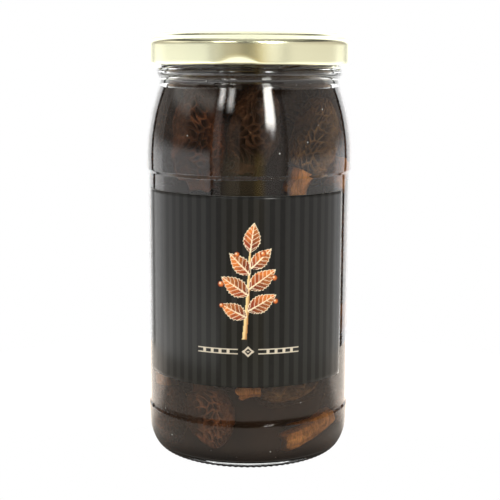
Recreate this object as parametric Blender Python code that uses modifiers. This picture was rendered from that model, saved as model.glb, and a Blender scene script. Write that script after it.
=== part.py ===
"""A twist-off glass jar filled with preserved black morels.

The jar stands on its foot ring with its axis on +Z and the origin at the centre of the foot plane.
Its front, where the label's middle is, faces -Y. Lengths are in metres, angles in degrees.
"""

import math
import random

import bmesh
import bpy

MM = 0.001
SIDES = 40  # flats round every turned piece
CORNER_STEPS = 3  # straight stretches in the profiles' round parts
INNER_SHOULDER_STEPS = 4
SHOULDER_STEPS = 5
RIM_STEPS = 4
BEAD_STEPS = 4
HEEL_STEPS = 5
CURL_STEPS = 7
LUG_STEPS = 4
MERGE = 0.00001
FRONT = -90.0  # world angle of the jar's front
GAP = 0.3 * MM  # clearance between neighbouring pieces

# Jar glass
MAX_RADIUS = 33.95 * MM
MAX_RADIUS_HEIGHT = 97.5 * MM
SHOULDER_ARC = 68.0 * MM
SHOULDER_TOP = 121.3 * MM
PANEL_RADIUS = 33.4 * MM
PANEL_BOTTOM = 15.9 * MM
PANEL_TOP = 93.4 * MM
PANEL_STEP = 1.0 * MM
SWELL_RADIUS = 33.85 * MM
HEEL_HEIGHT = 12.5 * MM
FOOT_OUTER = 28.65 * MM
FOOT_INNER = 26.4 * MM
PUSH_UP = 1.0 * MM
INNER_RADIUS = 31.0 * MM
FLOOR_HEIGHT = 2.3 * MM
FLOOR_CROWN = 0.5 * MM
CORNER_ACROSS = 5.6 * MM
CORNER_RISE = 9.0 * MM
NECK_INNER = 26.9 * MM
FINISH_RADIUS = 29.85 * MM
RIM_HEIGHT = 136.2 * MM
GROOVE_RADIUS = 29.55 * MM
GROOVE_BOTTOM = 122.4 * MM
BEAD_RADIUS = 30.6 * MM
BEAD_HEIGHT = 125.7 * MM
BEAD_HALF = 1.3 * MM
BEAD_FROM = 60.0  # angles where the bead's round leaves the neck above and below it
BEAD_TO = -80.0

# Thread of the neck, and the lugs of the lid that run under it
THREADS = 4
THREAD_LEAD = 16.0 * MM
THREAD_ROD = 0.7 * MM
THREAD_CENTRE_RADIUS = 30.3 * MM
THREAD_HEIGHT_AT_LUG = 130.85 * MM
THREAD_START = -70.0
THREAD_END = 46.0
THREAD_POINTS = 10
THREAD_TIP_SCALE = 0.45
LUG_BEARING = -5.5
LUG_HALF_ANGLE = 8.0
LUG_INNER = 30.45 * MM
LUG_OUTER = 32.4 * MM
LUG_BOTTOM = 128.4 * MM
LUG_TOP = 129.5 * MM

# Lid
LID_RADIUS = 33.4 * MM
LID_TOP = 138.2 * MM
LID_BOTTOM = 128.2 * MM
LID_SHEET = 0.4 * MM
LID_PANEL_DROP = 0.7 * MM
LID_PANEL_RADIUS = 25.7 * MM
LID_RING_INNER = 26.5 * MM
LID_RING_OUTER = 29.3 * MM
LID_STEP_OUTER = 30.75 * MM
LID_STEP_HEIGHT = 137.0 * MM
LID_SHOULDER_RADIUS = 32.5 * MM
LID_SHOULDER_HEIGHT = 136.2 * MM
LID_SKIRT_TOP = 134.9 * MM
LID_EDGE_RUN = 0.8 * MM  # bevel at the outer edge of the raised ring
LID_EDGE_FALL = 0.45 * MM
LID_ROUNDING_RUN = 0.3 * MM  # bevel between the shoulder and the skirt
LID_ROUNDING_FALL = 0.7 * MM
LID_CURL = 0.8 * MM
LID_CURL_END = -240.0  # angle on the curl's circle where the rolled sheet meets the skirt again
LID_CURL_JOIN = 2.0 * MM  # height of that place above the lid's lower edge

# Sealing ring in the lid
SEAL_INNER = 27.6 * MM
SEAL_OUTER = 29.4 * MM
SEAL_HEIGHT = 0.95 * MM
SEAL_CHAMFER = 0.4 * MM

# Label
LABEL_BOTTOM = 27.9 * MM
LABEL_TOP = 88.45 * MM
LABEL_GAP = 0.1 * MM
LABEL_SHEET = 0.2 * MM
LABEL_FIRST_FLAT = -8  # where the label starts, in flats of the jar from the front
LABEL_FLATS = 15  # flats of the jar that the label covers

# Juice
JUICE_TOP = 131.5 * MM
JUICE_SIDES = 20

# Morels
MOREL_SEGMENTS = 12
CAP_RINGS = 12
STEM_RINGS = 3
UNROLL_RADIUS = 25.0 * MM  # where a bearing turns into a length on the unrolled wall
WALL_CLEARANCE = 0.45 * MM
TIP_RING = 0.35  # share of a ring's spacing between the tip and the first ring
STEM_TOP_RING = 0.15  # share of a ring's spacing between the cap's rim and the stem's first ring
PIT_DEPTH = 0.36
PIT_MEAN = 0.725  # share of the pits' depth that is kept on average along a furrow
PIT_SWING = 0.275  # share by which the cross ridges raise it and the pits' middles lower it
PIT_ROWS = 4.0
PIT_STAGGER = 2.1  # radians by which the pits of one furrow lie past those of the one beside it
RIDGE_WANDER = 0.06
TIP_ROUNDNESS = 0.7  # below 1 the tip is blunt
CAP_WIDEST = 0.6  # share of the cap's length from its tip to its widest place
CAP_RIM_TAPER = 0.3
STEM_FLARE = 0.18
SECTION_FULLNESS = 0.8  # below 1 the section is fuller than an ellipse, pressed flat by the glass
THIN_WITH_WIDTH = 0.5  # where the morel is narrow, its half thickness follows its half width by this share
THIN_BASE = 0.22  # and this share of its full thickness
HOLE_SEGMENTS = 8
HOLE_MARGIN = 0.5 * MM
HOLE_OUTWARD = 3.0 * MM  # how far a hole reaches past its morel towards the glass, to break out of the juice
HOLE_BENDS_FROM = 0.35  # sine of the tilt past which a hole needs more rings to follow the wall
HOLE_TIP_SHARE = 0.72  # width of the hole at the morel's tip, as a share of the cap's
HOLE_FULL_FROM = 0.3  # share of the cap's length where the hole has its full width
HOLE_CAP_BEND = 0.65  # shares of the cap's and the stem's length where the extra rings lie
HOLE_STEM_BEND = 0.45

# Each morel on the unrolled wall: bearing and height of its middle, tilt of its tip from upright towards the
# right, cap length and width, stem length and width, thickness, and how far the stem's foot bends aside.
MORELS = [
    # upper tier
    (-37.0, 105.5, -6.0, 30.0, 19.0, 4.0, 8.5, 11.0, 1.0),
    (4.0, 109.0, 12.0, 26.0, 16.0, 4.0, 7.5, 11.0, -1.0),
    (47.5, 102.0, 31.0, 25.0, 17.0, 9.0, 7.5, 11.5, 1.5),
    (93.0, 103.5, 33.0, 26.0, 18.0, 10.0, 8.5, 11.5, 1.0),
    (144.0, 105.5, 14.0, 27.0, 20.0, 8.0, 9.0, 11.5, -1.0),
    (-168.0, 106.0, 170.0, 27.0, 19.0, 8.0, 9.0, 11.5, 1.0),
    (-121.0, 105.5, -10.0, 27.0, 18.5, 8.0, 9.0, 11.5, 1.0),
    (-79.0, 105.0, -9.0, 29.0, 16.0, 4.0, 8.0, 11.5, -1.0),
    # tier behind the label
    (-56.0, 61.0, 10.0, 34.0, 24.0, 12.0, 10.0, 12.5, 2.0),
    (14.0, 60.0, 170.0, 34.0, 24.0, 12.0, 10.0, 12.5, -2.0),
    (84.0, 61.0, -10.0, 34.0, 24.0, 12.0, 10.0, 12.5, 2.0),
    (160.0, 60.0, 14.0, 35.0, 24.0, 12.0, 10.0, 12.5, 1.0),
    (-128.0, 61.0, 168.0, 34.0, 24.0, 12.0, 10.0, 12.5, -1.0),
    # lower tier
    (-67.0, 16.8, 174.0, 19.0, 17.0, 7.0, 8.0, 10.5, 1.0),
    (-27.0, 18.0, 168.0, 19.0, 16.0, 6.0, 7.5, 10.5, 1.0),
    (23.0, 27.0, 86.0, 20.0, 12.5, 7.0, 6.5, 10.5, 0.5),
    (58.0, 11.8, 72.0, 12.0, 12.0, 19.0, 6.0, 10.0, 0.0),
    (117.0, 21.0, -20.0, 20.0, 17.0, 7.0, 8.0, 10.5, -1.0),
    (160.0, 21.5, 162.0, 20.0, 18.0, 7.0, 8.0, 10.5, 1.0),
    (-156.0, 21.0, 14.0, 20.0, 17.0, 7.0, 8.0, 10.5, 1.0),
    (-110.0, 21.5, -16.0, 20.0, 17.0, 7.0, 8.0, 10.5, -1.0),
]

COLOURS = {
    "jar_glass": (0.93, 0.97, 0.94, 0.05, 0.0),
    "lid": (0.83, 0.76, 0.52, 0.25, 0.9),
    "lid_seal": (0.86, 0.85, 0.8, 0.6, 0.0),
    "label": (0.03, 0.03, 0.029, 0.45, 0.0),
    "juice": (0.025, 0.012, 0.006, 0.1, 0.0),
    "morel": (0.07, 0.04, 0.025, 0.5, 0.0),
}


def clear_scene():
    for old in list(bpy.data.objects):
        bpy.data.objects.remove(old, do_unlink=True)


def collection(name, guides=False):
    made = bpy.data.collections.new(name)
    bpy.context.scene.collection.children.link(made)
    made.hide_render = guides
    return made


def material(name):
    red, green, blue, roughness, metallic = COLOURS[name]
    made = bpy.data.materials.new(name)
    made.use_nodes = True
    shader = made.node_tree.nodes["Principled BSDF"]
    shader.inputs["Base Color"].default_value = (red, green, blue, 1.0)
    shader.inputs["Roughness"].default_value = roughness
    shader.inputs["Metallic"].default_value = metallic
    return made


def mesh_object(name, points, edges, faces, where):
    mesh = bpy.data.meshes.new(name)
    mesh.from_pydata(points, edges, faces)
    made = bpy.data.objects.new(name, mesh)
    where.objects.link(made)
    return made


def as_guide(made):
    made.hide_render = True
    made.display_type = "WIRE"


def arc(centre, radii, start, end, steps):
    """Points on an ellipse in the profile plane, from one angle to another, both ends included."""
    points = []
    for step in range(steps + 1):
        angle = math.radians(start + (end - start) * step / steps)
        points.append(
            (
                centre[0] + radii[0] * math.cos(angle),
                centre[1] + radii[1] * math.sin(angle),
            )
        )
    return points


def turned(name, profile, where, closed=False, sides=SIDES):
    """A turned piece: the profile at +X, screwed once round Z."""
    points = [(radius, 0.0, height) for radius, height in profile]
    edges = [(i, i + 1) for i in range(len(points) - 1)]
    if closed:
        edges.append((len(points) - 1, 0))
    made = mesh_object(name, points, edges, [], where)
    screw = made.modifiers.new("turn", "SCREW")
    screw.angle = math.tau
    screw.steps = sides
    screw.render_steps = sides
    screw.use_merge_vertices = True
    screw.merge_threshold = MERGE
    screw.use_smooth_shade = True
    return made


def shoulder_angle(height):
    """Angle on the shoulder's arc at a height above its widest place."""
    return math.degrees(math.asin((height - MAX_RADIUS_HEIGHT) / SHOULDER_ARC))


def inner_wall():
    """The jar's inner profile from the floor's corner up to the neck."""
    arc_centre = MAX_RADIUS - SHOULDER_ARC
    inner_arc = INNER_RADIUS - arc_centre
    neck_angle = math.degrees(math.acos((NECK_INNER - arc_centre) / inner_arc))
    corner = arc(
        (INNER_RADIUS - CORNER_ACROSS, FLOOR_HEIGHT + CORNER_RISE),
        (CORNER_ACROSS, CORNER_RISE),
        -90.0,
        0.0,
        CORNER_STEPS,
    )
    shoulder = arc(
        (arc_centre, MAX_RADIUS_HEIGHT),
        (inner_arc, inner_arc),
        0.0,
        neck_angle,
        INNER_SHOULDER_STEPS,
    )
    return corner + shoulder


def wall_radius(height):
    """The inner wall's radius at a height, read from its profile."""
    wall = inner_wall()
    if height <= wall[0][1]:
        return wall[0][0]
    for (r0, z0), (r1, z1) in zip(wall, wall[1:]):
        if height <= z1:
            return r0 + (r1 - r0) * (height - z0) / max(z1 - z0, MERGE)
    return NECK_INNER


def glass_profile():
    """From the floor's middle, up the inside, over the rim, down the outside and in under the foot."""
    rim_centre = (NECK_INNER + FINISH_RADIUS) / 2
    rim_radius = (FINISH_RADIUS - NECK_INNER) / 2
    shoulder_centre = MAX_RADIUS - SHOULDER_ARC
    profile = [(0.0, FLOOR_HEIGHT + FLOOR_CROWN)]
    profile += inner_wall()
    profile += arc(
        (rim_centre, RIM_HEIGHT - rim_radius),
        (rim_radius, rim_radius),
        180.0,
        0.0,
        RIM_STEPS,
    )
    profile.append((FINISH_RADIUS, BEAD_HEIGHT + BEAD_HALF))
    profile += arc(
        (GROOVE_RADIUS, BEAD_HEIGHT),
        (BEAD_RADIUS - GROOVE_RADIUS, BEAD_HALF),
        BEAD_FROM,
        BEAD_TO,
        BEAD_STEPS,
    )
    profile.append((GROOVE_RADIUS, GROOVE_BOTTOM))
    profile += arc(
        (shoulder_centre, MAX_RADIUS_HEIGHT),
        (SHOULDER_ARC, SHOULDER_ARC),
        shoulder_angle(SHOULDER_TOP),
        0.0,
        SHOULDER_STEPS,
    )
    profile.append((MAX_RADIUS, PANEL_TOP + PANEL_STEP))
    profile.append((PANEL_RADIUS, PANEL_TOP))
    profile.append((PANEL_RADIUS, PANEL_BOTTOM))
    profile.append((SWELL_RADIUS, PANEL_BOTTOM - PANEL_STEP))
    profile += arc(
        (FOOT_OUTER, HEEL_HEIGHT),
        (SWELL_RADIUS - FOOT_OUTER, HEEL_HEIGHT),
        0.0,
        -90.0,
        HEEL_STEPS,
    )
    profile.append((FOOT_INNER, 0.0))
    profile.append((FOOT_INNER - PUSH_UP / 2, PUSH_UP / 2))
    profile.append((0.0, PUSH_UP))
    return profile


def thread_mesh(index, where):
    """One raised thread: a rod along a rising arc, thin at both ends, made a mesh with its caps welded."""
    lug = FRONT + LUG_BEARING + index * 360.0 / THREADS
    curve = bpy.data.curves.new("thread_path", "CURVE")
    curve.dimensions = "3D"
    curve.bevel_depth = THREAD_ROD
    curve.bevel_resolution = 1
    curve.use_fill_caps = True
    spline = curve.splines.new("POLY")
    spline.points.add(THREAD_POINTS - 1)
    last = THREAD_POINTS - 1
    for i, point in enumerate(spline.points):
        turn = THREAD_START + (THREAD_END - THREAD_START) * i / last
        angle = math.radians(lug + turn)
        height = THREAD_HEIGHT_AT_LUG + THREAD_LEAD * turn / 360.0
        point.co = (
            THREAD_CENTRE_RADIUS * math.cos(angle),
            THREAD_CENTRE_RADIUS * math.sin(angle),
            height,
            1.0,
        )
        point.radius = THREAD_TIP_SCALE if i in (0, last) else 1.0
    return curve_to_mesh(f"thread_{index + 1}", curve, where)


def curve_to_mesh(name, curve, where):
    """A welded, closed mesh guide in place of a curve."""
    path = bpy.data.objects.new("path", curve)
    bpy.context.scene.collection.objects.link(path)
    bpy.context.view_layer.update()
    evaluated = path.evaluated_get(bpy.context.evaluated_depsgraph_get())
    mesh = bpy.data.meshes.new_from_object(evaluated)
    bpy.data.objects.remove(path, do_unlink=True)
    made = bpy.data.objects.new(name, mesh)
    where.objects.link(made)
    body = bmesh.new()
    body.from_mesh(mesh)
    bmesh.ops.remove_doubles(body, verts=body.verts, dist=MERGE)
    bmesh.ops.recalc_face_normals(body, faces=body.faces)
    body.to_mesh(mesh)
    body.free()
    as_guide(made)
    return made


def boolean(made, operation, guides, solver="EXACT"):
    cut = made.modifiers.new(operation.lower(), "BOOLEAN")
    cut.operation = operation
    cut.operand_type = "COLLECTION"
    cut.collection = guides
    cut.solver = solver


def make_glass(where):
    glass = turned("jar_glass", glass_profile(), where)
    threads = collection("threads", guides=True)
    for index in range(THREADS):
        thread_mesh(index, threads)
    boolean(glass, "UNION", threads)
    return glass


def inset(points, distance):
    """The open line moved to the right of its run by a distance, with mitred corners."""
    normals = []
    for (x0, z0), (x1, z1) in zip(points, points[1:]):
        length = math.dist((x0, z0), (x1, z1))
        normals.append(((z1 - z0) / length, (x0 - x1) / length))
    moved = []
    for (x, z), before, after in zip(points, normals[:1] + normals, normals + normals[-1:]):
        reach = distance / (1.0 + before[0] * after[0] + before[1] * after[1])
        moved.append(
            (x + reach * (before[0] + after[0]), z + reach * (before[1] + after[1]))
        )
    return moved


def lid_profile():
    """The lid's outer side from its middle down to the curl, and its inner side back up."""
    panel = LID_TOP - LID_PANEL_DROP
    outer = [
        (0.0, panel),
        (LID_PANEL_RADIUS, panel),
        (LID_RING_INNER, LID_TOP),
        (LID_RING_OUTER, LID_TOP),
        (LID_RING_OUTER + LID_EDGE_RUN, LID_TOP - LID_EDGE_FALL),
        (LID_STEP_OUTER, LID_STEP_HEIGHT),
        (LID_SHOULDER_RADIUS, LID_SHOULDER_HEIGHT),
        (LID_RADIUS - LID_ROUNDING_RUN, LID_SKIRT_TOP + LID_ROUNDING_FALL),
        (LID_RADIUS, LID_SKIRT_TOP),
        (LID_RADIUS, LID_BOTTOM + LID_CURL_JOIN),
    ]
    curl = arc(
        (LID_RADIUS - LID_CURL, LID_BOTTOM + LID_CURL),
        (LID_CURL, LID_CURL),
        0.0,
        LID_CURL_END,
        CURL_STEPS,
    )
    return outer[:-1] + curl + inset(outer, LID_SHEET)[::-1]


def lug_mesh(index, where):
    """One lug: a short bar of the lid's curl pressed inwards, an arc outline given its thickness."""
    middle = FRONT + LUG_BEARING + index * 360.0 / THREADS
    low, high = middle - LUG_HALF_ANGLE, middle + LUG_HALF_ANGLE
    outline = arc((0.0, 0.0), (LUG_INNER, LUG_INNER), low, high, LUG_STEPS)
    outline += arc((0.0, 0.0), (LUG_OUTER, LUG_OUTER), high, low, LUG_STEPS)
    curve = bpy.data.curves.new("lug_outline", "CURVE")
    curve.dimensions = "2D"
    curve.fill_mode = "BOTH"
    curve.extrude = (LUG_TOP - LUG_BOTTOM) / 2
    spline = curve.splines.new("POLY")
    spline.points.add(len(outline) - 1)
    spline.use_cyclic_u = True
    for point, (x, y) in zip(spline.points, outline):
        point.co = (x, y, 0.0, 1.0)
    made = curve_to_mesh(f"lug_{index + 1}", curve, where)
    made.location.z = (LUG_TOP + LUG_BOTTOM) / 2
    return made


def make_lid(where):
    lid = turned("lid", lid_profile(), where)
    lugs = collection("lugs", guides=True)
    for index in range(THREADS):
        lug_mesh(index, lugs)
    boolean(lid, "UNION", lugs)
    return lid


def make_seal(where):
    bottom = RIM_HEIGHT + GAP
    top = bottom + SEAL_HEIGHT
    profile = [
        (SEAL_INNER, top),
        (SEAL_OUTER - SEAL_CHAMFER, top),
        (SEAL_OUTER, top - SEAL_CHAMFER),
        (SEAL_OUTER, bottom),
        (SEAL_INNER, bottom),
    ]
    return turned("lid_seal", profile, where, closed=True)


def make_label(where):
    """The label: a strip on the panel's front, given its thickness inwards."""
    radius = PANEL_RADIUS + LABEL_GAP + LABEL_SHEET
    strip = mesh_object(
        "label",
        [(radius, 0.0, LABEL_TOP), (radius, 0.0, LABEL_BOTTOM)],
        [(0, 1)],
        [],
        where,
    )
    strip.rotation_euler.z = math.radians(FRONT + LABEL_FIRST_FLAT * 360.0 / SIDES)
    screw = strip.modifiers.new("wrap", "SCREW")
    screw.angle = math.tau * LABEL_FLATS / SIDES
    screw.steps = LABEL_FLATS
    screw.render_steps = LABEL_FLATS
    screw.use_smooth_shade = True
    sheet = strip.modifiers.new("sheet", "SOLIDIFY")
    sheet.thickness = LABEL_SHEET
    sheet.offset = -1.0
    sheet.use_even_offset = True
    return strip


def to_wall(bearing, height, tilt, along, across, depth):
    """A point of a morel, given along its axis, across it and in from the wall, bent round the jar."""
    turn = math.radians(tilt)
    u = along * math.sin(turn) + across * math.cos(turn)
    z = height + along * math.cos(turn) - across * math.sin(turn)
    angle = math.radians(FRONT + bearing) + u / UNROLL_RADIUS
    radius = wall_radius(z) - WALL_CLEARANCE - depth
    return (radius * math.cos(angle), radius * math.sin(angle), z)


def morel_half_width(t, cap_share, cap_width, stem_width):
    """Half the morel's width from its tip (0) to its foot (1)."""
    if t < cap_share:
        s = t / cap_share
        if s < CAP_WIDEST:
            rise = math.pi / 2 * (s / CAP_WIDEST) ** TIP_ROUNDNESS
            return cap_width / 2 * math.sin(rise)
        past = (s - CAP_WIDEST) / (1.0 - CAP_WIDEST)
        return cap_width / 2 * (1.0 - CAP_RIM_TAPER * past * past)
    s = (t - cap_share) / (1.0 - cap_share)
    return stem_width / 2 * (1.0 + STEM_FLARE * s * s)


def morel_stations(cap_share, cap_rings, stem_rings):
    """Where the rings lie from the tip to the foot."""
    cap = [cap_share * (i + TIP_RING) / cap_rings for i in range(cap_rings)]
    span = stem_rings - 1 + 3 * STEM_TOP_RING
    stem = [
        cap_share + (1.0 - cap_share) * (i + STEM_TOP_RING) / span
        for i in range(stem_rings)
    ]
    return cap + stem


def lathe_faces(rings, segments):
    """Faces of a skin of rings closed by a point at each end; the points come last."""
    tip, foot = rings * segments, rings * segments + 1
    faces = []
    for ring in range(rings - 1):
        for seg in range(segments):
            a = ring * segments + seg
            b = ring * segments + (seg + 1) % segments
            faces.append((a, b, b + segments, a + segments))
    for seg in range(segments):
        after = (seg + 1) % segments
        faces.append((tip, after, seg))
        base = (rings - 1) * segments
        faces.append((base + seg, base + after, foot))
    return faces


def morel_sizes(place):
    """A morel's sizes in metres, in the table's order."""
    bearing, height, tilt = place[:3]
    return (bearing, height * MM, tilt, *[value * MM for value in place[3:]])


def full(value):
    """A sine or cosine swollen towards 1, for a fuller section."""
    return math.copysign(abs(value) ** SECTION_FULLNESS, value)


def morel_skin(place, rng):
    """Points and faces of one morel: cap and stem as one skin, with long ridges and pits between them."""
    bearing, height, tilt, cap, width, stem, stem_width, thick, bend = morel_sizes(
        place
    )
    length = cap + stem
    cap_share = cap / length
    stations = morel_stations(cap_share, CAP_RINGS, STEM_RINGS)
    phase = rng.uniform(0.0, math.tau)
    points = []
    for t in stations:
        half = morel_half_width(t, cap_share, width, stem_width)
        half_depth = min(thick / 2, half * THIN_WITH_WIDTH + thick * THIN_BASE)
        side = bend * max(0.0, (t - cap_share) / (1.0 - cap_share)) ** 2
        for seg in range(MOREL_SEGMENTS):
            furrow = seg % 2
            out = 1.0 - 0.5 * RIDGE_WANDER * furrow
            if t < cap_share:
                along_furrow = math.tau * PIT_ROWS * t / cap_share + phase
                row = math.cos(along_furrow + PIT_STAGGER * seg)
                out -= PIT_DEPTH * furrow * (PIT_MEAN - PIT_SWING * row)
                out += rng.uniform(-RIDGE_WANDER, 0.0)
            angle = math.tau * seg / MOREL_SEGMENTS
            across = half * out * full(math.cos(angle)) + side
            depth = thick / 2 + half_depth * out * full(math.sin(angle))
            points.append(
                to_wall(bearing, height, tilt, length * (0.5 - t), across, depth)
            )
    points.append(to_wall(bearing, height, tilt, length / 2, 0.0, thick / 2))
    points.append(to_wall(bearing, height, tilt, -length / 2, bend, thick / 2))
    return points, lathe_faces(len(stations), MOREL_SEGMENTS)


def hole_skin(place):
    """Points and faces of the plain hole round one morel."""
    bearing, height, tilt, cap, width, stem, stem_width, thick, bend = morel_sizes(
        place
    )
    grow = 1.0 / math.cos(math.pi / HOLE_SEGMENTS)
    half = width / 2 + HOLE_MARGIN
    foot_half = stem_width / 2 + abs(bend) / 2 + 2 * HOLE_MARGIN
    top = (cap + stem) / 2 + HOLE_MARGIN
    rings = [
        (top, half * HOLE_TIP_SHARE, 0.0),
        (top - HOLE_FULL_FROM * cap, half, 0.0),
        (top - cap, half, 0.0),
        (-top, foot_half, bend / 2),
    ]
    if abs(math.sin(math.radians(tilt))) > HOLE_BENDS_FROM:
        rings.insert(2, (top - HOLE_CAP_BEND * cap, half, 0.0))
        rings.insert(4, (-top + HOLE_STEM_BEND * stem, (half + foot_half) / 2, 0.0))
    points = []
    for along, half_here, side in rings:
        for seg in range(HOLE_SEGMENTS):
            angle = math.tau * (seg + 0.5) / HOLE_SEGMENTS
            across = half_here * grow * math.cos(angle) + side
            reach = HOLE_MARGIN if math.sin(angle) > 0.0 else HOLE_OUTWARD
            depth = thick / 2 + (thick / 2 + reach) * grow * math.sin(angle)
            points.append(to_wall(bearing, height, tilt, along, across, depth))
    points.append(to_wall(bearing, height, tilt, top, 0.0, thick / 2))
    points.append(to_wall(bearing, height, tilt, -top, bend / 2, thick / 2))
    return points, lathe_faces(len(rings), HOLE_SEGMENTS)


def face_outwards(made):
    body = bmesh.new()
    body.from_mesh(made.data)
    bmesh.ops.recalc_face_normals(body, faces=body.faces)
    body.to_mesh(made.data)
    body.free()


def make_morels(where):
    skin = material("morel")
    for number, place in enumerate(MORELS, start=1):
        points, faces = morel_skin(place, random.Random(number))
        made = mesh_object(f"morel_{number:02d}", points, [], faces, where)
        face_outwards(made)
        made.data.materials.append(skin)


def make_juice(where):
    """The liquid: a turned body inside the glass with one plain hole round each morel."""
    wall = [(radius - GAP, height) for radius, height in inner_wall()]
    profile = [(0.0, JUICE_TOP), (NECK_INNER - GAP, JUICE_TOP)]
    profile += wall[::-1]
    profile[-1] = (wall[0][0], wall[0][1] + GAP)
    profile.append((0.0, FLOOR_HEIGHT + FLOOR_CROWN + GAP))
    juice = turned("juice", profile, where, sides=JUICE_SIDES)
    holes = collection("holes", guides=True)
    for number, place in enumerate(MORELS, start=1):
        points, faces = hole_skin(place)
        hole = mesh_object(f"hole_{number:02d}", points, [], faces, holes)
        face_outwards(hole)
        as_guide(hole)
    boolean(juice, "DIFFERENCE", holes, solver="MANIFOLD")
    keep_main_body(juice)
    return juice


def keep_main_body(made):
    """Apply the modifiers and drop loose scraps, so that the piece is one body."""
    bpy.context.view_layer.update()
    evaluated = made.evaluated_get(bpy.context.evaluated_depsgraph_get())
    mesh = bpy.data.meshes.new_from_object(evaluated)
    made.modifiers.clear()
    body = bmesh.new()
    body.from_mesh(mesh)
    left = set(body.faces)
    groups = []
    while left:
        start = left.pop()
        group, queue = [start], [start]
        while queue:
            for edge in queue.pop().edges:
                for other in edge.link_faces:
                    if other in left:
                        left.discard(other)
                        group.append(other)
                        queue.append(other)
        groups.append(group)
    groups.sort(key=len)
    for group in groups[:-1]:
        bmesh.ops.delete(body, geom=group, context="FACES")
    body.to_mesh(mesh)
    body.free()
    made.data = mesh


def main():
    clear_scene()
    jar = collection("jar_of_black_morels")
    for name, made in (
        ("jar_glass", make_glass(jar)),
        ("lid", make_lid(jar)),
        ("lid_seal", make_seal(jar)),
        ("label", make_label(jar)),
        ("juice", make_juice(jar)),
    ):
        made.data.materials.clear()
        made.data.materials.append(material(name))
    make_morels(jar)


main()
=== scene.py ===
"""Looks of a twist-off glass jar filled with preserved black morels.

Fine pieces stand for the frame's plain solids and keep their form. Lengths are in metres, angles in
degrees. Bearings are measured from the jar's front, which faces -Y, towards +X.
"""

import math

import bmesh
import bpy
import numpy as np
from mathutils import Matrix


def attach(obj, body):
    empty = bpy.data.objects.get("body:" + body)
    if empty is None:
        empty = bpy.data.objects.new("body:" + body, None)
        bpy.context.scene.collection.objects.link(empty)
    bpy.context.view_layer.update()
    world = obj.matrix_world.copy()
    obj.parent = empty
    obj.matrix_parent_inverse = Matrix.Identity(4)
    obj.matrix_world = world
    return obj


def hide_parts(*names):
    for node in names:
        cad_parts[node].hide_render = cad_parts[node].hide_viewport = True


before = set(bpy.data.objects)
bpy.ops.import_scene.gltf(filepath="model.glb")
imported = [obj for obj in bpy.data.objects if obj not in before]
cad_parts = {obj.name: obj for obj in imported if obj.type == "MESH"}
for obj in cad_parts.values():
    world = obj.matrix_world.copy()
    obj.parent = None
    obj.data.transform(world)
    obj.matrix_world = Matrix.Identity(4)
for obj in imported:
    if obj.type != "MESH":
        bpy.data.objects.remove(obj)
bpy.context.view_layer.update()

MM = 0.001
TINY = 1e-6
FRONT = -90.0  # world angle of the jar's front

# Jar glass
GLASS_SIDES = 480
MAX_RADIUS = 33.95 * MM
MAX_RADIUS_HEIGHT = 97.5 * MM
SHOULDER_ARC = 68.0 * MM
SHOULDER_TOP = 121.3 * MM
PANEL_RADIUS = 33.4 * MM
PANEL_BOTTOM = 15.9 * MM
PANEL_TOP = 93.4 * MM
PANEL_STEP = 1.0 * MM
SWELL_RADIUS = 33.85 * MM
HEEL_HEIGHT = 12.5 * MM
FOOT_OUTER = 28.65 * MM
FOOT_INNER = 26.4 * MM
PUSH_UP = 1.0 * MM
INNER_RADIUS = 31.0 * MM
FLOOR_HEIGHT = 2.3 * MM
FLOOR_CROWN = 0.5 * MM
CORNER_ACROSS = 5.6 * MM
CORNER_RISE = 9.0 * MM
NECK_INNER = 26.9 * MM
FINISH_RADIUS = 29.85 * MM
RIM_HEIGHT = 136.2 * MM
GROOVE_RADIUS = 29.55 * MM
GROOVE_BOTTOM = 122.4 * MM
BEAD_RADIUS = 30.6 * MM
BEAD_HEIGHT = 125.7 * MM
BEAD_HALF = 1.3 * MM
NECK_STEP = 0.22 * MM  # spacing of the rows that carry the threads
NECK_ROUNDING = 0.3 * MM
SIDE_ROUNDING = 0.22 * MM
SIDE_SPACING = 3.0 * MM
PROFILE_SPACING = 6.0 * MM
KNURLS = 96
KNURL_DEPTH = 0.22 * MM
KNURL_TOP = 1.6 * MM

# Threads of the neck and lugs of the lid
THREADS = 4
THREAD_LEAD = 16.0 * MM
THREAD_HEIGHT_AT_LUG = 130.85 * MM
THREAD_START = -70.0
THREAD_END = 46.0
THREAD_FADE = 12.0
THREAD_PROUD = 1.1 * MM
THREAD_HALF = 0.95 * MM
LUG_BEARING = -5.5
LUG_HALF_ANGLE = 8.0
LUG_INNER = 30.45 * MM
DENT_HALF_ANGLE = 12.7
DENT_HEIGHT = 2.7 * MM
DENT_SLOPE = 0.24
DENT_ROUNDING = 0.25 * MM

# Lid
LID_SIDES = 360
LID_RADIUS = 33.4 * MM
LID_TOP = 138.2 * MM
LID_BOTTOM = 128.2 * MM
LID_SHEET = 0.4 * MM
LID_PANEL_DROP = 0.7 * MM
LID_PANEL_RADIUS = 25.7 * MM
LID_RING_INNER = 26.5 * MM
LID_RING_OUTER = 29.3 * MM
LID_STEP_OUTER = 30.75 * MM
LID_STEP_HEIGHT = 137.0 * MM
LID_SHOULDER_RADIUS = 32.5 * MM
LID_SHOULDER_HEIGHT = 136.2 * MM
LID_SKIRT_TOP = 134.9 * MM
LID_CURL = 0.8 * MM
LID_OUTER_ROUNDING = 0.45 * MM
LID_INNER_ROUNDING = 0.3 * MM
LID_SPACING = 0.5 * MM
LID_FLAT_RADIUS = 20.0 * MM  # the flat panel needs no rings within this radius

# Sealing ring
SEAL_INNER = 27.6 * MM
SEAL_OUTER = 29.4 * MM
SEAL_BOTTOM = 136.5 * MM
SEAL_TOP = 137.45 * MM
SEAL_CHAMFER = 0.4 * MM
SEAL_ROUNDING = 0.15 * MM
SEAL_SIDES = 180

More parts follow.
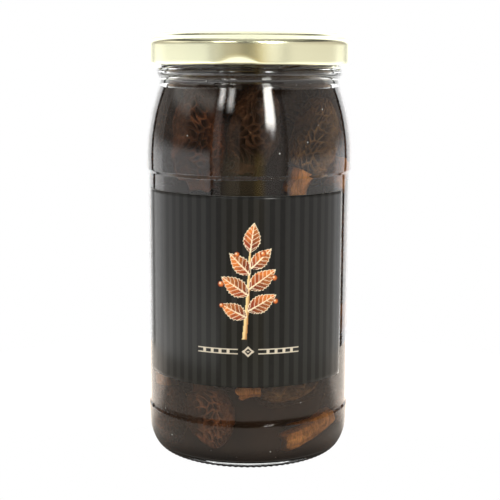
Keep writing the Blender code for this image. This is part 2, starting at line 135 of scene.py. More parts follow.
# Label
LABEL_BOTTOM = 27.9 * MM
LABEL_TOP = 88.45 * MM
LABEL_RADIUS = 33.7 * MM
LABEL_SHEET = 0.2 * MM
LABEL_FROM = -72.0  # bearing of the label's left edge
LABEL_TO = 63.0
STRIPE_PERIOD = 5.7
STRIPE_SOFTNESS = 0.35
STRIPE_MIDDLE = -1.7  # bearing of the middle of one light stripe

# Juice
JUICE_SIDES = 240
JUICE_TOP = 131.5 * MM
JUICE_GAP = 0.08 * MM
JUICE_INDEX = 1.34
GLASS_INDEX = 1.51

# Morels
UNROLL_RADIUS = 25.0 * MM
WALL_CLEARANCE = 0.45 * MM
CAP_WIDEST = 0.6
CAP_RIM_TAPER = 0.3
STEM_FLARE = 0.18
SECTION_FULLNESS = 0.8
PIT_DEPTH = 0.34
CELL_LENGTH = 2.9 * MM  # spacing of the pits down the cap
CELL_ROWS = 64
CELL_SCATTER = (0.75, 0.95)
WIDE_CAP = 15.0 * MM
WIDE_CAP_COLUMNS = 24
NARROW_CAP_COLUMNS = 18
FOOT_HOLLOW = 1.5 * MM
FINE_GRID = (176, 120, 34)  # points round a morel, rings of its cap and rings of its stem
COARSE_GRID = (60, 50, 14)

# Each morel on the unrolled wall: bearing and height of its middle, tilt of its tip from upright towards
# the right, cap length and width, stem length and width, thickness, and how far its foot bends aside.
# Lengths in this list are in millimetres.
MORELS = [
    # upper tier
    (-37.0, 105.5, -6.0, 30.0, 19.0, 4.0, 8.5, 11.0, 1.0),
    (4.0, 109.0, 12.0, 26.0, 16.0, 4.0, 7.5, 11.0, -1.0),
    (47.5, 102.0, 31.0, 25.0, 17.0, 9.0, 7.5, 11.5, 1.5),
    (93.0, 103.5, 33.0, 26.0, 18.0, 10.0, 8.5, 11.5, 1.0),
    (144.0, 105.5, 14.0, 27.0, 20.0, 8.0, 9.0, 11.5, -1.0),
    (-168.0, 106.0, 170.0, 27.0, 19.0, 8.0, 9.0, 11.5, 1.0),
    (-121.0, 105.5, -10.0, 27.0, 18.5, 8.0, 9.0, 11.5, 1.0),
    (-79.0, 105.0, -9.0, 29.0, 16.0, 4.0, 8.0, 11.5, -1.0),
    # tier behind the label
    (-56.0, 61.0, 10.0, 34.0, 24.0, 12.0, 10.0, 12.5, 2.0),
    (14.0, 60.0, 170.0, 34.0, 24.0, 12.0, 10.0, 12.5, -2.0),
    (84.0, 61.0, -10.0, 34.0, 24.0, 12.0, 10.0, 12.5, 2.0),
    (160.0, 60.0, 14.0, 35.0, 24.0, 12.0, 10.0, 12.5, 1.0),
    (-128.0, 61.0, 168.0, 34.0, 24.0, 12.0, 10.0, 12.5, -1.0),
    # lower tier
    (-67.0, 16.8, 174.0, 19.0, 17.0, 7.0, 8.0, 10.5, 1.0),
    (-27.0, 18.0, 168.0, 19.0, 16.0, 6.0, 7.5, 10.5, 1.0),
    (23.0, 27.0, 86.0, 20.0, 12.5, 7.0, 6.5, 10.5, 0.5),
    (58.0, 11.8, 72.0, 12.0, 12.0, 19.0, 6.0, 10.0, 0.0),
    (117.0, 21.0, -20.0, 20.0, 17.0, 7.0, 8.0, 10.5, -1.0),
    (160.0, 21.5, 162.0, 20.0, 18.0, 7.0, 8.0, 10.5, 1.0),
    (-156.0, 21.0, 14.0, 20.0, 17.0, 7.0, 8.0, 10.5, 1.0),
    (-110.0, 21.5, -16.0, 20.0, 17.0, 7.0, 8.0, 10.5, -1.0),
]
HIDDEN_TIER = range(9, 14)  # numbers of the morels behind the label


# Camera

CAMERA_PLACE = (0.00047, -0.3832, 0.1292)
CAMERA_DOWN = 9.315
CAMERA_ROLL = 0.254
CAMERA_LENS = 82.73


def make_camera():
    camera = bpy.data.objects.new("camera", bpy.data.cameras.new("camera"))
    bpy.context.scene.collection.objects.link(camera)
    tilt = Matrix.Rotation(math.radians(90.0 - CAMERA_DOWN), 4, "X")
    roll = Matrix.Rotation(math.radians(CAMERA_ROLL), 4, "Z")
    camera.matrix_world = Matrix.Translation(CAMERA_PLACE) @ tilt @ roll
    camera.data.lens = CAMERA_LENS
    camera.data.sensor_width = 36.0
    camera.data.clip_start = 0.01
    bpy.context.scene.camera = camera


# Node helpers


class Nodes:
    """Short ways to make and link nodes in one tree."""

    def __init__(self, tree):
        self.tree = tree
        tree.nodes.clear()

    def add(self, kind, **settings):
        node = self.tree.nodes.new(kind)
        for name, value in settings.items():
            setattr(node, name, value)
        return node

    def put(self, node, name, value):
        """Set an input to a value, or link it from a socket."""
        if isinstance(value, bpy.types.NodeSocket):
            self.tree.links.new(value, node.inputs[name])
        else:
            node.inputs[name].default_value = value

    def math(self, operation, first, second=0.0):
        node = self.add("ShaderNodeMath", operation=operation)
        self.put(node, 0, first)
        self.put(node, 1, second)
        return node.outputs[0]

    def place(self):
        """Where a point lies in the shared frame."""
        return self.add("ShaderNodeTexCoord").outputs["Object"]

    def split(self, vector):
        """The x, y and z of a vector."""
        node = self.add("ShaderNodeSeparateXYZ")
        self.put(node, 0, vector)
        return node.outputs

    def bearing(self, x, y):
        """The bearing of a direction from the jar's front, in radians."""
        return self.math("ARCTAN2", x, self.math("MULTIPLY", y, -1.0))

    def ramp(self, value, low, high, out_low=0.0, out_high=1.0):
        """A smooth step of value from low to high."""
        node = self.add("ShaderNodeMapRange", interpolation_type="SMOOTHSTEP")
        for name, number in (
            ("Value", value),
            ("From Min", low),
            ("From Max", high),
            ("To Min", out_low),
            ("To Max", out_high),
        ):
            self.put(node, name, number)
        return node.outputs["Result"]

    def mix(self, factor, first, second, blend_type="MIX"):
        node = self.add("ShaderNodeMix", data_type="RGBA", blend_type=blend_type)
        self.put(node, 0, factor)
        self.put(node, 6, first)
        self.put(node, 7, second)
        return node.outputs[2]

    def noise(self, vector, scale, detail=3.0, roughness=0.5):
        node = self.add("ShaderNodeTexNoise")
        self.put(node, "Vector", vector)
        self.put(node, "Scale", scale)
        self.put(node, "Detail", detail)
        self.put(node, "Roughness", roughness)
        return node.outputs["Fac"]

    def scaled(self, vector, scale):
        node = self.add("ShaderNodeVectorMath", operation="MULTIPLY")
        self.put(node, 0, vector)
        self.put(node, 1, scale)
        return node.outputs[0]

    def bump(self, height, distance, strength=1.0):
        node = self.add("ShaderNodeBump")
        self.put(node, "Height", height)
        self.put(node, "Distance", distance)
        self.put(node, "Strength", strength)
        return node.outputs["Normal"]

    def principled(self, **inputs):
        node = self.add("ShaderNodeBsdfPrincipled")
        for name, value in inputs.items():
            self.put(node, name.replace("_", " "), value)
        return node.outputs[0]

    def output(self, shader, volume=None, kind="ShaderNodeOutputMaterial"):
        node = self.add(kind)
        if shader is not None:
            self.put(node, "Surface", shader)
        if volume is not None:
            self.put(node, "Volume", volume)


def new_material(name):
    made = bpy.data.materials.new(name)
    made.use_nodes = True
    return made, Nodes(made.node_tree)


def srgb(red, green, blue):
    """A colour given in display values of 0 to 255, as linear light."""

    def linear(value):
        share = value / 255.0
        return share / 12.92 if share <= 0.04045 else ((share + 0.055) / 1.055) ** 2.4

    return (linear(red), linear(green), linear(blue), 1.0)


# World and floor

WHITE = (1.0, 1.0, 1.0, 1.0)
BLACK = (0.0, 0.0, 0.0, 1.0)
# Soft boxes round the jar: lowest and highest bearing, lowest and highest elevation, softness of the
# sides and of the ends, brightness and colour. Bearing 0 is where the camera stands.
SOFT_BOXES = [
    (-180.0, -165.0, -90.0, 90.0, 4.0, 8.0, 1.1, (1.0, 1.0, 1.0)),
    (165.0, 180.0, -90.0, 90.0, 4.0, 8.0, 1.1, (1.0, 1.0, 1.0)),
    (-165.0, -141.0, -90.0, 90.0, 1.5, 8.0, 1.8, (1.0, 1.0, 1.0)),
    (141.0, 165.0, -90.0, 90.0, 1.5, 8.0, 1.8, (1.0, 1.0, 1.0)),
    (-134.0, -112.0, -22.0, 0.0, 1.5, 4.0, 2.2, (1.0, 1.0, 1.0)),
    (-134.0, -112.0, 0.0, 33.0, 1.5, 3.0, 0.55, (1.0, 0.9, 0.82)),
    (112.0, 134.0, -22.0, 0.0, 1.5, 4.0, 2.0, (1.0, 1.0, 1.0)),
    (112.0, 134.0, 0.0, 33.0, 1.5, 3.0, 0.55, (1.0, 0.9, 0.82)),
    (-112.0, -32.0, -22.0, -12.5, 2.0, 2.0, 3.4, (1.0, 1.0, 1.0)),
    (-112.0, -43.5, -12.5, 2.0, 1.5, 3.0, 1.35, (1.0, 1.0, 1.0)),
    (-112.0, -75.0, 3.0, 18.0, 5.0, 4.0, 0.35, (1.0, 0.85, 0.75)),
    (-75.0, -43.5, 3.0, 20.0, 5.0, 4.0, 0.12, (1.0, 0.85, 0.75)),
    (-112.0, -75.0, 18.0, 33.0, 4.0, 4.0, 1.5, (1.0, 0.95, 0.88)),
    (-75.0, -43.5, 24.0, 33.0, 3.0, 5.0, 1.4, (1.0, 0.94, 0.86)),
    (-40.5, -32.0, -12.5, 33.0, 1.0, 3.0, 0.7, (1.0, 0.95, 0.9)),
    (-32.0, -10.0, -22.0, 20.0, 1.0, 5.0, 0.3, (1.0, 0.9, 0.8)),
    (15.0, 40.5, -22.0, 33.0, 7.0, 3.0, 0.7, (1.0, 0.95, 0.9)),
    (43.5, 112.0, -22.0, -1.0, 1.0, 3.0, 1.25, (1.0, 0.98, 0.95)),
    (43.5, 112.0, 0.0, 33.0, 1.0, 3.0, 0.65, (1.0, 0.9, 0.82)),
    (19.5, 30.5, 17.0, 40.0, 2.0, 4.0, 24.0, (1.0, 0.98, 0.93)),
    (24.5, 29.0, 12.0, 18.0, 2.0, 4.0, 6.0, (1.0, 1.0, 1.0)),
    (-39.0, -33.0, 28.0, 40.0, 3.0, 4.0, 14.0, (1.0, 0.97, 0.92)),
    (-27.0, -20.0, 27.0, 40.0, 3.0, 4.0, 9.0, (1.0, 0.97, 0.92)),
    (-134.0, 134.0, 55.0, 90.0, 6.0, 8.0, 0.5, (1.0, 0.96, 0.9)),
    (-134.0, 134.0, -90.0, -22.0, 10.0, 5.0, 1.6, (1.0, 1.0, 1.0)),
    (7.0, 17.0, -22.0, 2.0, 4.0, 4.0, 0.5, (1.0, 0.65, 0.1)),
    (-28.0, 15.0, -22.0, 0.0, 8.0, 6.0, 0.9, (0.42, 0.35, 0.2)),
]
FRONT_LEVEL = (0.02, 0.02, 0.02, 1.0)


def soft_mask(nodes, value, low, high, softness, limit):
    """1 between low and high and 0 outside, with soft ends. An end at the limit stays open."""
    rising = nodes.ramp(value, low - softness, low + softness) if low > -limit else 1.0
    falling = nodes.ramp(value, high + softness, high - softness) if high < limit else 1.0
    return nodes.math("MULTIPLY", rising, falling)


def make_world():
    """Soft boxes that the glass and the lid reflect; the viewer sees plain white behind the jar."""
    world = bpy.data.worlds.new("studio")
    world.use_nodes = True
    bpy.context.scene.world = world
    nodes = Nodes(world.node_tree)
    x, y, z = nodes.split(nodes.add("ShaderNodeTexCoord").outputs["Generated"])
    bearing = nodes.math("MULTIPLY", nodes.bearing(x, y), math.degrees(1.0))
    elevation = nodes.math("MULTIPLY", nodes.math("ARCSINE", z), math.degrees(1.0))
    total = FRONT_LEVEL
    for left, right, low, high, side_softness, end_softness, bright, colour in SOFT_BOXES:
        mask = nodes.math(
            "MULTIPLY",
            soft_mask(nodes, bearing, left, right, side_softness, 180.0),
            soft_mask(nodes, elevation, low, high, end_softness, 90.0),
        )
        light = tuple(channel * bright for channel in colour) + (1.0,)
        total = nodes.mix(1.0, total, nodes.mix(mask, BLACK, light), "ADD")
    seen = nodes.add("ShaderNodeLightPath").outputs["Is Camera Ray"]
    background = nodes.add("ShaderNodeBackground")
    nodes.put(background, "Color", nodes.mix(seen, total, WHITE))
    nodes.output(background.outputs[0], kind="ShaderNodeOutputWorld")


FLOOR_RADIUS = 160.0 * MM
FLOOR_DROP = 0.02 * MM
FLOOR_SHADOW_TO = 27.0 * MM  # reach from the jar's axis within which the floor's glow is darkest, a painted shadow under the jar
FLOOR_LIT_FROM = 46.0 * MM
FLOOR_SHADOW_SHARE = 0.05
FLOOR_BACK = 30.0 * MM  # how far behind the axis the floor's glow reaches its full level, brighter behind the jar: painted light
FLOOR_FRONT_LEVEL = 0.75
FLOOR_BACK_LEVEL = 2.0
FLOOR_COLOUR = (1.0, 0.9, 0.8, 1.0)


def make_floor():
    """A plain pale floor that is white to the viewer; for all other rays it glows, with a painted shadow
    under the jar itself and painted light brighter behind it.
    """
    mesh = bpy.data.meshes.new("floor")
    body = bmesh.new()
    bmesh.ops.create_circle(body, cap_ends=True, segments=96, radius=FLOOR_RADIUS)
    body.to_mesh(mesh)
    body.free()
    floor = bpy.data.objects.new("floor", mesh)
    bpy.context.scene.collection.objects.link(floor)
    floor.location.z = -FLOOR_DROP
    made, nodes = new_material("floor")
    seen = nodes.add("ShaderNodeLightPath").outputs["Is Camera Ray"]
    place = nodes.place()
    reach = nodes.add("ShaderNodeVectorMath", operation="LENGTH")
    nodes.put(reach, 0, place)
    back = nodes.split(place)["Y"]
    level = nodes.ramp(back, 0.0, FLOOR_BACK, FLOOR_FRONT_LEVEL, FLOOR_BACK_LEVEL)
    # painted shadow and painted light: the floor's glow is dark under the jar and brighter behind it
    lit = nodes.ramp(
        reach.outputs["Value"], FLOOR_SHADOW_TO, FLOOR_LIT_FROM, FLOOR_SHADOW_SHARE, 1.0
    )
    lit = nodes.math("MULTIPLY", lit, level)
    glow = nodes.add("ShaderNodeEmission")
    nodes.put(glow, "Color", nodes.mix(seen, FLOOR_COLOUR, WHITE))
    nodes.put(glow, "Strength", nodes.math("MAXIMUM", seen, lit))
    nodes.output(glow.outputs[0])
    mesh.materials.append(made)


# Mesh helpers


def new_object(name, points, faces, smooth=True):
    mesh = bpy.data.meshes.new(name)
    mesh.from_pydata([tuple(map(float, point)) for point in points], [], faces)
    if smooth:
        mesh.shade_smooth()
    made = bpy.data.objects.new(name, mesh)
    bpy.context.scene.collection.objects.link(made)
    return made


def arc(centre, radii, start, end, steps):
    points = []
    for step in range(steps + 1):
        angle = math.radians(start + (end - start) * step / steps)
        points.append(
            (
                centre[0] + radii[0] * math.cos(angle),
                centre[1] + radii[1] * math.sin(angle),
            )
        )
    return points


def rounded(points, radius, steps=4):
    """The open line with each inner corner turned into an arc-like curve."""
    made = [points[0]]
    for before, here, after in zip(points, points[1:], points[2:]):
        back = math.dist(before, here)
        ahead = math.dist(here, after)
        reach = min(radius, back * 0.45, ahead * 0.45)
        start = [h + (b - h) * reach / back for h, b in zip(here, before)]
        end = [h + (a - h) * reach / ahead for h, a in zip(here, after)]
        for step in range(steps + 1):
            t = step / steps
            made.append(
                tuple(
                    (1 - t) ** 2 * s + 2 * t * (1 - t) * h + t * t * e
                    for s, h, e in zip(start, here, end)
                )
            )
    made.append(points[-1])
    return made


def filled(points, spacing):
    """The line with extra points so that no stretch is longer than the spacing."""
    made = [points[0]]
    for before, here in zip(points, points[1:]):
        count = max(1, math.ceil(math.dist(before, here) / spacing))
        for step in range(1, count + 1):
            made.append(
                tuple(b + (h - b) * step / count for b, h in zip(before, here))
            )
    return made


def revolve(name, profile, sides, shape=None, closed=False):
    """A turned skin. The shape may push each ring's radii and heights about."""
    angles = np.arange(sides) * math.tau / sides
    points, rings = [], []
    for row, (radius, height) in enumerate(profile):
        if radius < TINY:
            rings.append([len(points)])
            points.append((0.0, 0.0, height))
            continue
        radii = np.full(sides, radius)
        heights = np.full(sides, height)
        if shape:
            radii, heights = shape(row, radii, heights, np.degrees(angles))
        rings.append(list(range(len(points), len(points) + sides)))
        points.extend(
            zip(radii * np.cos(angles), radii * np.sin(angles), heights)
        )
    pairs = list(zip(rings, rings[1:]))
    if closed:
        pairs.append((rings[-1], rings[0]))
    faces = []
    for above, below in pairs:
        for i in range(sides):
            j = (i + 1) % sides
            if len(above) == 1:
                faces.append((above[0], below[i], below[j]))
            elif len(below) == 1:
                faces.append((above[i], below[0], above[j]))
            else:
                faces.append((above[i], below[i], below[j], above[j]))
    return new_object(name, points, faces)


def wrap(angle):
    """An angle in degrees brought between -180 and 180."""
    return (angle + 180.0) % 360.0 - 180.0


def smooth_step(low, high, value):
    share = np.clip((value - low) / (high - low), 0.0, 1.0)
    return share * share * (3.0 - 2.0 * share)


# Glass


def inner_wall(steps=1):
    """The jar's inner profile from the floor's corner up to the neck."""
    arc_centre = MAX_RADIUS - SHOULDER_ARC
    inner_arc = INNER_RADIUS - arc_centre
    neck_angle = math.degrees(math.acos((NECK_INNER - arc_centre) / inner_arc))
    corner = arc(
        (INNER_RADIUS - CORNER_ACROSS, FLOOR_HEIGHT + CORNER_RISE),
        (CORNER_ACROSS, CORNER_RISE),
        -90.0,
        0.0,
        3 * steps,
    )
    shoulder = arc(
        (arc_centre, MAX_RADIUS_HEIGHT),
        (inner_arc, inner_arc),
        0.0,
        neck_angle,
        4 * steps,
    )
    return corner + shoulder


def shoulder_angle(height):
    return math.degrees(math.asin((height - MAX_RADIUS_HEIGHT) / SHOULDER_ARC))


def thread_swell(bearings, heights):
    """How far the threads stand out of the neck at these bearings and heights."""
    swell = np.zeros_like(heights)
    for index in range(THREADS):
        turn = wrap(bearings - LUG_BEARING - index * 360.0 / THREADS)
        middle = THREAD_HEIGHT_AT_LUG + THREAD_LEAD * turn / 360.0
        fade = smooth_step(THREAD_START, THREAD_START + THREAD_FADE, turn)
        fade = fade * (1.0 - smooth_step(THREAD_END - THREAD_FADE, THREAD_END, turn))
        across = np.clip(1.0 - ((heights - middle) / THREAD_HALF) ** 2, 0.0, 1.0)
        swell = np.maximum(swell, THREAD_PROUD * fade * across**1.3)
    return swell


def glass_profile():
    """The jar's section in four lines, from the floor's middle up, over the rim and down to the foot."""
    rim_centre = (NECK_INNER + FINISH_RADIUS) / 2
    rim_radius = (FINISH_RADIUS - NECK_INNER) / 2
    inside = [(0.0, FLOOR_HEIGHT + FLOOR_CROWN)]
    inside += filled(inner_wall(5), PROFILE_SPACING)
    rim = arc(
        (rim_centre, RIM_HEIGHT - rim_radius), (rim_radius, rim_radius), 180.0, 0.0, 14
    )
    neck = [rim[-1], (FINISH_RADIUS, BEAD_HEIGHT + BEAD_HALF)]
    neck += arc(
        (GROOVE_RADIUS, BEAD_HEIGHT),
        (BEAD_RADIUS - GROOVE_RADIUS, BEAD_HALF),
        60.0,
        -80.0,
        10,
    )
    neck = filled(rounded(neck, NECK_ROUNDING, 3), NECK_STEP)[1:]
    side = [neck[-1], (GROOVE_RADIUS, GROOVE_BOTTOM)]
    side += arc(
        (MAX_RADIUS - SHOULDER_ARC, MAX_RADIUS_HEIGHT),
        (SHOULDER_ARC, SHOULDER_ARC),
        shoulder_angle(SHOULDER_TOP),
        0.0,
        24,
    )
    side += [
        (MAX_RADIUS, PANEL_TOP + PANEL_STEP),
        (PANEL_RADIUS, PANEL_TOP),
        (PANEL_RADIUS, PANEL_BOTTOM),
        (SWELL_RADIUS, PANEL_BOTTOM - PANEL_STEP),
    ]
    side += arc(
        (FOOT_OUTER, HEEL_HEIGHT),
        (SWELL_RADIUS - FOOT_OUTER, HEEL_HEIGHT),
        0.0,
        -90.0,
        22,
    )
    side += [
        (FOOT_INNER, 0.0),
        (FOOT_INNER - PUSH_UP / 2, PUSH_UP / 2),
        (0.0, PUSH_UP),
    ]
    side = filled(rounded(side, SIDE_ROUNDING, 3), SIDE_SPACING)[1:]
    return inside, rim, neck, side


def make_glass():
    inside, rim, neck, side = glass_profile()
    outer_start = len(inside) + len(rim)

    def shape(row, radii, heights, angles):
        if row < outer_start:
            return radii, heights
        if heights[0] > BEAD_HEIGHT + BEAD_HALF * 0.5:
            radii = radii + thread_swell(wrap(angles - FRONT), heights)
        elif heights[0] < KNURL_TOP and radii[0] > FOOT_INNER:
            dip = 0.5 - 0.5 * np.cos(np.radians(angles) * KNURLS)
            reach = 1.0 - smooth_step(0.6 * KNURL_TOP, KNURL_TOP, heights)
            heights = heights + KNURL_DEPTH * dip * reach
        return radii, heights

    glass = revolve("glass_jar", inside + rim + neck + side, GLASS_SIDES, shape)
    glass.data.materials.append(glass_material("jar glass", GLASS_INDEX))
    glass.data.materials.append(glass_material("wetted glass", GLASS_INDEX / JUICE_INDEX))
    wetted_rows = sum(1 for radius, height in inside if height < JUICE_TOP) - 1
    for face in glass.data.polygons[: GLASS_SIDES * wetted_rows]:
        face.material_index = 1
    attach(glass, "jar")
    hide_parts("jar_glass")


# Painted shade on the lower ledge: its reflection is tinted dark grey, fully near the panel's bottom
# edge and plain farther from it, so the ledge shows no glint.
LEDGE_DIMMED_NEAR = 0.8 * MM
LEDGE_PLAIN_FROM = 1.2 * MM
LEDGE_REFLECTION_DIMMING = (0.12, 0.12, 0.12, 1.0)


def glass_material(name, index):
    """Clear soda-lime glass with a faint green in its thickness; lamps shine straight through it."""
    made, nodes = new_material(name)
    height = nodes.split(nodes.place())["Z"]
    # painted shade: the glass's reflection is dimmed on the lower ledge
    from_ledge = nodes.math("ABSOLUTE", nodes.math("SUBTRACT", height, PANEL_BOTTOM))
    at_ledge = nodes.ramp(from_ledge, LEDGE_PLAIN_FROM, LEDGE_DIMMED_NEAR)
    glass = nodes.principled(
        Base_Color=(0.965, 0.985, 0.972, 1.0),
        Roughness=0.0,
        IOR=index,
        Specular_Tint=nodes.mix(at_ledge, WHITE, LEDGE_REFLECTION_DIMMING),
        Transmission_Weight=1.0,
    )
    clear = nodes.add("ShaderNodeBsdfTransparent")
    nodes.put(clear, "Color", (0.93, 0.95, 0.94, 1.0))
    path = nodes.add("ShaderNodeLightPath")
    straight = nodes.math(
        "MAXIMUM", path.outputs["Is Shadow Ray"], path.outputs["Is Diffuse Ray"]
    )
    mixed = nodes.add("ShaderNodeMixShader")
    nodes.put(mixed, 0, straight)
    nodes.put(mixed, 1, glass)
    nodes.put(mixed, 2, clear.outputs[0])
    nodes.output(mixed.outputs[0])
    return made


# Lid


def make_lid():
    panel = LID_TOP - LID_PANEL_DROP
    outer = [
        (0.0, panel),
        (LID_PANEL_RADIUS, panel),
        (LID_RING_INNER, LID_TOP),
        (LID_RING_OUTER, LID_TOP),
        (LID_RING_OUTER + 0.8 * MM, LID_TOP - 0.45 * MM),
        (LID_STEP_OUTER, LID_STEP_HEIGHT),
        (LID_SHOULDER_RADIUS, LID_SHOULDER_HEIGHT),
        (LID_RADIUS - 0.3 * MM, LID_SKIRT_TOP + 0.7 * MM),
        (LID_RADIUS, LID_SKIRT_TOP),
        (LID_RADIUS, LID_BOTTOM + LID_CURL),
    ]
    outer = filled(rounded(outer, LID_OUTER_ROUNDING, 4), LID_SPACING)
    outer = [point for point in outer if point[0] < TINY or point[0] > LID_FLAT_RADIUS]
    curl = arc(
        (LID_RADIUS - LID_CURL, LID_BOTTOM + LID_CURL),
        (LID_CURL, LID_CURL),
        0.0,
        -180.0,
        14,
    )[1:]
    curl += arc(
        (LID_RADIUS - LID_CURL, LID_BOTTOM + LID_CURL),
        (LID_CURL, LID_CURL),
        180.0,
        120.0,
        4,
    )[1:]
    inner = [
        curl[-1],
        (LID_RADIUS - LID_SHEET, LID_BOTTOM + 2.0 * MM),
        (LID_RADIUS - LID_SHEET, LID_SKIRT_TOP - 0.1 * MM),
        (LID_RADIUS - 0.65 * MM, LID_SKIRT_TOP + 0.45 * MM),
        (LID_SHOULDER_RADIUS - 0.2 * MM, LID_SHOULDER_HEIGHT - LID_SHEET),
        (LID_STEP_OUTER - 0.25 * MM, LID_STEP_HEIGHT - LID_SHEET),
        (LID_RING_OUTER + 0.5 * MM, LID_TOP - 0.85 * MM),
        (LID_RING_OUTER - 0.15 * MM, LID_TOP - LID_SHEET),
        (LID_RING_INNER + 0.15 * MM, LID_TOP - LID_SHEET),
        (LID_PANEL_RADIUS + 0.15 * MM, panel - LID_SHEET),
        (0.0, panel - LID_SHEET),
    ]
    inner = rounded(inner, LID_INNER_ROUNDING, 2)[1:]
    profile = outer + curl + inner
    curl_start = len(outer)
    inner_start = len(outer) + len(curl)

    def shape(row, radii, heights, angles):
        above = heights - LID_BOTTOM
        push = np.zeros_like(radii)
        for index in range(THREADS):
            turn = wrap(angles - FRONT - LUG_BEARING - index * 360.0 / THREADS)
            edge = DENT_HEIGHT * (1.0 - (turn / DENT_HALF_ANGLE) ** 2)
            below = edge - above
            dent = DENT_SLOPE * (below + np.sqrt(below**2 + DENT_ROUNDING**2)) / 2
            if row < curl_start and heights[0] < LID_SKIRT_TOP:
                push += dent
            elif curl_start <= row < inner_start:
                inwards = (LID_RADIUS - radii[0]) / (2 * LID_CURL)
                lug = 1.0 - smooth_step(
                    LUG_HALF_ANGLE - 1.0, LUG_HALF_ANGLE + 2.0, np.abs(turn)
                )
                full = LID_RADIUS - 2 * LID_CURL - LUG_INNER
                push += dent * (1.0 - inwards) + full * lug * inwards
        return radii - push, heights

    lid = revolve("lid_cap", profile, LID_SIDES, shape)
    lid.data.materials.append(lid_material())
    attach(lid, "lid")
    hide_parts("lid")


def lid_material():
    """Tinplate under pale gold lacquer, with a faint orange-peel surface."""
    made, nodes = new_material("gold lacquer")
    place = nodes.place()
    ripple = nodes.noise(place, 900.0, 2.0)
    tone = nodes.mix(
        nodes.noise(place, 60.0, 2.0), (0.86, 0.86, 0.6, 1.0), (0.89, 0.89, 0.64, 1.0)
    )
    lacquer = nodes.principled(
        Base_Color=tone,
        Metallic=1.0,
        Roughness=0.26,
        Normal=nodes.bump(ripple, 0.01 * MM, 0.3),
    )
    nodes.output(lacquer)
    return made


# Sealing ring


def make_seal():
    profile = rounded(
        [
            (SEAL_INNER, SEAL_TOP),
            (SEAL_OUTER - SEAL_CHAMFER, SEAL_TOP),
            (SEAL_OUTER, SEAL_TOP - SEAL_CHAMFER),
            (SEAL_OUTER, SEAL_BOTTOM),
            (SEAL_INNER, SEAL_BOTTOM),
            (SEAL_INNER, SEAL_TOP),
        ],
        SEAL_ROUNDING,
        3,
    )[:-1]
    seal = revolve("seal_ring", profile, SEAL_SIDES, closed=True)
    made, nodes = new_material("sealing compound")
    place = nodes.place()
    grain = nodes.noise(place, 1500.0, 3.0)
    nodes.output(
        nodes.principled(
            Base_Color=nodes.mix(grain, srgb(228, 226, 214), srgb(240, 238, 228)),
            Roughness=0.55,
            Normal=nodes.bump(grain, 0.02 * MM),
        )
    )
    seal.data.materials.append(made)
    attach(seal, "seal")
    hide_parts("lid_seal")


# Label


def spaced(low, high, fine_low, fine_high, fine, coarse):
    """Rising positions, fine between two places and coarse outside them."""
    parts = [
        np.linspace(low, fine_low, max(2, round((fine_low - low) / coarse) + 1)),
        np.linspace(fine_low, fine_high, round((fine_high - fine_low) / fine) + 1)[1:],
        np.linspace(fine_high, high, max(2, round((high - fine_high) / coarse) + 1))[1:],
    ]
    return np.concatenate(parts)


PRINT_HALF = 18.5 * MM  # the printed design's part of the sheet, which has a finer grid
PRINT_LOW = 34.0 * MM
PRINT_HIGH = 83.0 * MM
PRINT_GRAIN = 0.2 * MM
LABEL_GRAIN = 1.2 * MM


def sheet_faces(rows, columns):
    """Faces of a sheet's front, back and cut edges; the back's points follow the front's."""
    count = rows * columns
    front, back, edge = [], [], []
    for r in range(rows - 1):
        for c in range(columns - 1):
            a = r * columns + c
            b, d, e = a + 1, a + columns, a + columns + 1
            front.append((a, b, e, d))
            back.append((a + count, d + count, e + count, b + count))
    for c in range(columns - 1):
        a, top = c, (rows - 1) * columns + c
        edge.append((a, a + count, a + 1 + count, a + 1))
        edge.append((top, top + 1, top + 1 + count, top + count))
    for r in range(rows - 1):
        a, last = r * columns, r * columns + columns - 1
        edge.append((a, a + columns, a + columns + count, a + count))
        edge.append((last, last + count, last + columns + count, last + columns))
    return front, back, edge


def make_label():
    left = math.radians(LABEL_FROM) * LABEL_RADIUS
    right = math.radians(LABEL_TO) * LABEL_RADIUS
    across = spaced(left, right, -PRINT_HALF, PRINT_HALF, PRINT_GRAIN, LABEL_GRAIN)
    up = spaced(LABEL_BOTTOM, LABEL_TOP, PRINT_LOW, PRINT_HIGH, PRINT_GRAIN, LABEL_GRAIN)
    u, z = np.meshgrid(across, up)
    angle = math.radians(FRONT) + u / LABEL_RADIUS
    layers = []
    for radius in (LABEL_RADIUS, LABEL_RADIUS - LABEL_SHEET):
        layers.append(
            np.stack((radius * np.cos(angle), radius * np.sin(angle), z), -1).reshape(-1, 3)
        )
    points = np.concatenate(layers)
    front, back, edge = sheet_faces(len(up), len(across))
    label = new_object("label_sheet", points, front + back + edge, smooth=False)
    mesh = label.data
    mesh.materials.append(label_material())
    mesh.materials.append(paper_material())
    slots = np.zeros(len(mesh.polygons), dtype=np.int32)
    slots[len(front):] = 1
    mesh.polygons.foreach_set("material_index", slots)
    smooth = np.ones(len(mesh.polygons), dtype=bool)
    smooth[len(front) + len(back):] = False
    mesh.polygons.foreach_set("use_smooth", smooth)
    colours = np.zeros((len(points), 4), dtype=np.float32)
    colours[: u.size] = print_colours(u.reshape(-1) / MM, z.reshape(-1) / MM)
    layer = mesh.attributes.new("print", "FLOAT_COLOR", "POINT")
    layer.data.foreach_set("color", colours.reshape(-1))
    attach(label, "jar")
    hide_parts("label")


# The printed design, a sprig of leaves and berries over a plain ruled ornament, in millimetres on the
# unrolled label: across from the front's middle and up from the jar's foot.
SPRIG_FOOT = 43.5
SPRIG_TOP = 71.0
# Each leaf: place of its foot, lean towards the right, length and width.
SPRIG_LEAVES = [
    (0.5, 71.0, 8.0, 9.5, 5.4),
    (0.8, 66.0, 46.0, 9.0, 5.0),
    (0.6, 64.0, -44.0, 9.5, 5.2),
    (0.2, 59.5, 54.0, 10.5, 5.8),
    (0.1, 57.5, -56.0, 10.5, 5.8),
    (-0.2, 52.5, 60.0, 10.5, 5.6),
    (-0.4, 50.5, -64.0, 9.5, 5.2),
]
